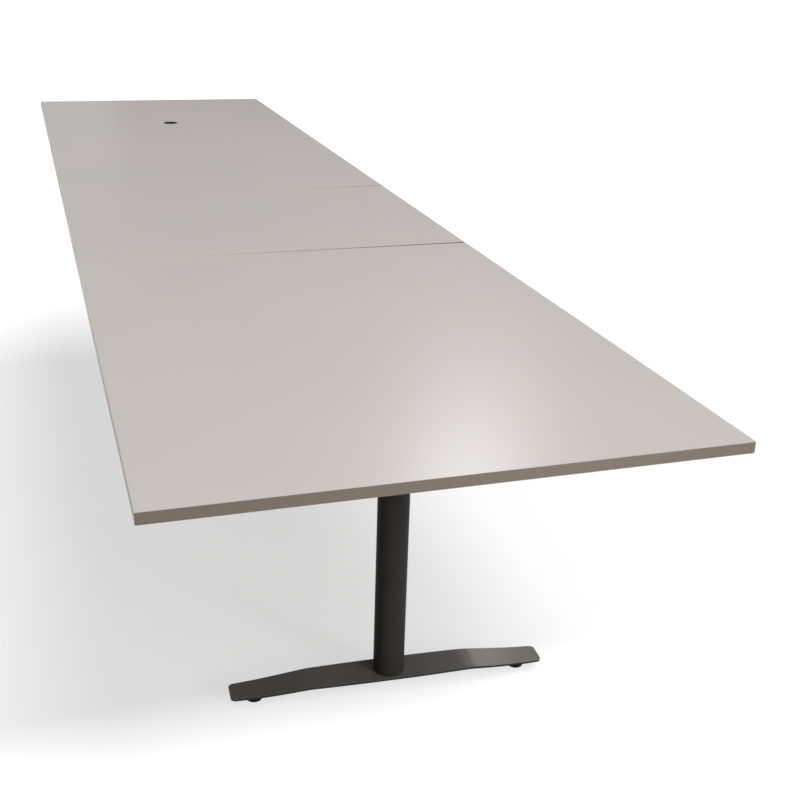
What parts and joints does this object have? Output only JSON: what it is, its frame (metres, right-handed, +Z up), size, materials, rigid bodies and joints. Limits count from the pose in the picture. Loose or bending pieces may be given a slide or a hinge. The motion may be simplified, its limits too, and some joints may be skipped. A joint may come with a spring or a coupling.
{
  "type": "conference table",
  "caption": "Long conference table: pale laminated tops with taupe edge bands laid end to end on dark T-shaped legs with bent foot plates, levelling glides and a cable grommet.",
  "frame": {"origin": "on the floor under the middle of the table", "axes": "+X across the table, +Y along it from the near end to the far end, +Z up"},
  "size_m": [1.2, 5, 0.752],
  "materials": {
    "laminate": "fine matt laminate",
    "backing": "plain backing sheet",
    "edge_band": "satin plastic band",
    "core": "particle board",
    "dark_paint": "fine textured powder coat",
    "zinc_steel": "zinc plated",
    "black_plastic": "moulded"
  },
  "bodies": {
    "table": {"near_top_face": "laminate", "near_top_core": "core", "near_top_backing": "backing", "near_top_edge_band": "edge_band", "mid_top_face": "laminate", "mid_top_core": "core", "mid_top_backing": "backing", "mid_top_edge_band": "edge_band", "far_top_face": "laminate", "far_top_core": "core", "far_top_backing": "backing", "far_top_edge_band": "edge_band", "grommet_sleeve": "black_plastic", "near_foot": "dark_paint", "near_column": "dark_paint", "near_bearer": "dark_paint", "near_foot_bolt": "zinc_steel", "near_bearer_bolt": "zinc_steel", "near_seam_foot": "dark_paint", "near_seam_column": "dark_paint", "near_seam_bearer": "dark_paint", "near_seam_foot_bolt": "zinc_steel", "near_seam_bearer_bolt": "zinc_steel", "far_seam_foot": "dark_paint", "far_seam_column": "dark_paint", "far_seam_bearer": "dark_paint", "far_seam_foot_bolt": "zinc_steel", "far_seam_bearer_bolt": "zinc_steel", "far_foot": "dark_paint", "far_column": "dark_paint", "far_bearer": "dark_paint", "far_foot_bolt": "zinc_steel", "far_bearer_bolt": "zinc_steel", "near_left_rail": "dark_paint", "near_right_rail": "dark_paint", "mid_left_rail": "dark_paint", "mid_right_rail": "dark_paint", "far_left_rail": "dark_paint", "far_right_rail": "dark_paint", "near_seam_left_plate": "zinc_steel", "near_seam_right_plate": "zinc_steel", "far_seam_left_plate": "zinc_steel", "far_seam_right_plate": "zinc_steel"},
    "grommet_cap": {"grommet_cap": "black_plastic"},
    "near_left_glide": {"near_left_glide": "black_plastic"},
    "near_right_glide": {"near_right_glide": "black_plastic"},
    "near_seam_left_glide": {"near_seam_left_glide": "black_plastic"},
    "near_seam_right_glide": {"near_seam_right_glide": "black_plastic"},
    "far_seam_left_glide": {"far_seam_left_glide": "black_plastic"},
    "far_seam_right_glide": {"far_seam_right_glide": "black_plastic"},
    "far_left_glide": {"far_left_glide": "black_plastic"},
    "far_right_glide": {"far_right_glide": "black_plastic"}
  },
  "joints": [
    {"name": "grommet_cap_turn", "type": "hinge", "parent": "table", "child": "grommet_cap", "pos_m": [0, 1.655, 0.75], "axis": [0, 0, 1], "continuous": true},
    {"name": "near_left_glide_screw", "type": "slide", "parent": "table", "child": "near_left_glide", "axis": [0, 0, -1], "range_m": [0, 0.008]},
    {"name": "near_right_glide_screw", "type": "slide", "parent": "table", "child": "near_right_glide", "axis": [0, 0, -1], "range_m": [0, 0.008]},
    {"name": "near_seam_left_glide_screw", "type": "slide", "parent": "table", "child": "near_seam_left_glide", "axis": [0, 0, -1], "range_m": [0, 0.008]},
    {"name": "near_seam_right_glide_screw", "type": "slide", "parent": "table", "child": "near_seam_right_glide", "axis": [0, 0, -1], "range_m": [0, 0.008]},
    {"name": "far_seam_left_glide_screw", "type": "slide", "parent": "table", "child": "far_seam_left_glide", "axis": [0, 0, -1], "range_m": [0, 0.008]},
    {"name": "far_seam_right_glide_screw", "type": "slide", "parent": "table", "child": "far_seam_right_glide", "axis": [0, 0, -1], "range_m": [0, 0.008]},
    {"name": "far_left_glide_screw", "type": "slide", "parent": "table", "child": "far_left_glide", "axis": [0, 0, -1], "range_m": [0, 0.008]},
    {"name": "far_right_glide_screw", "type": "slide", "parent": "table", "child": "far_right_glide", "axis": [0, 0, -1], "range_m": [0, 0.008]}
  ]
}
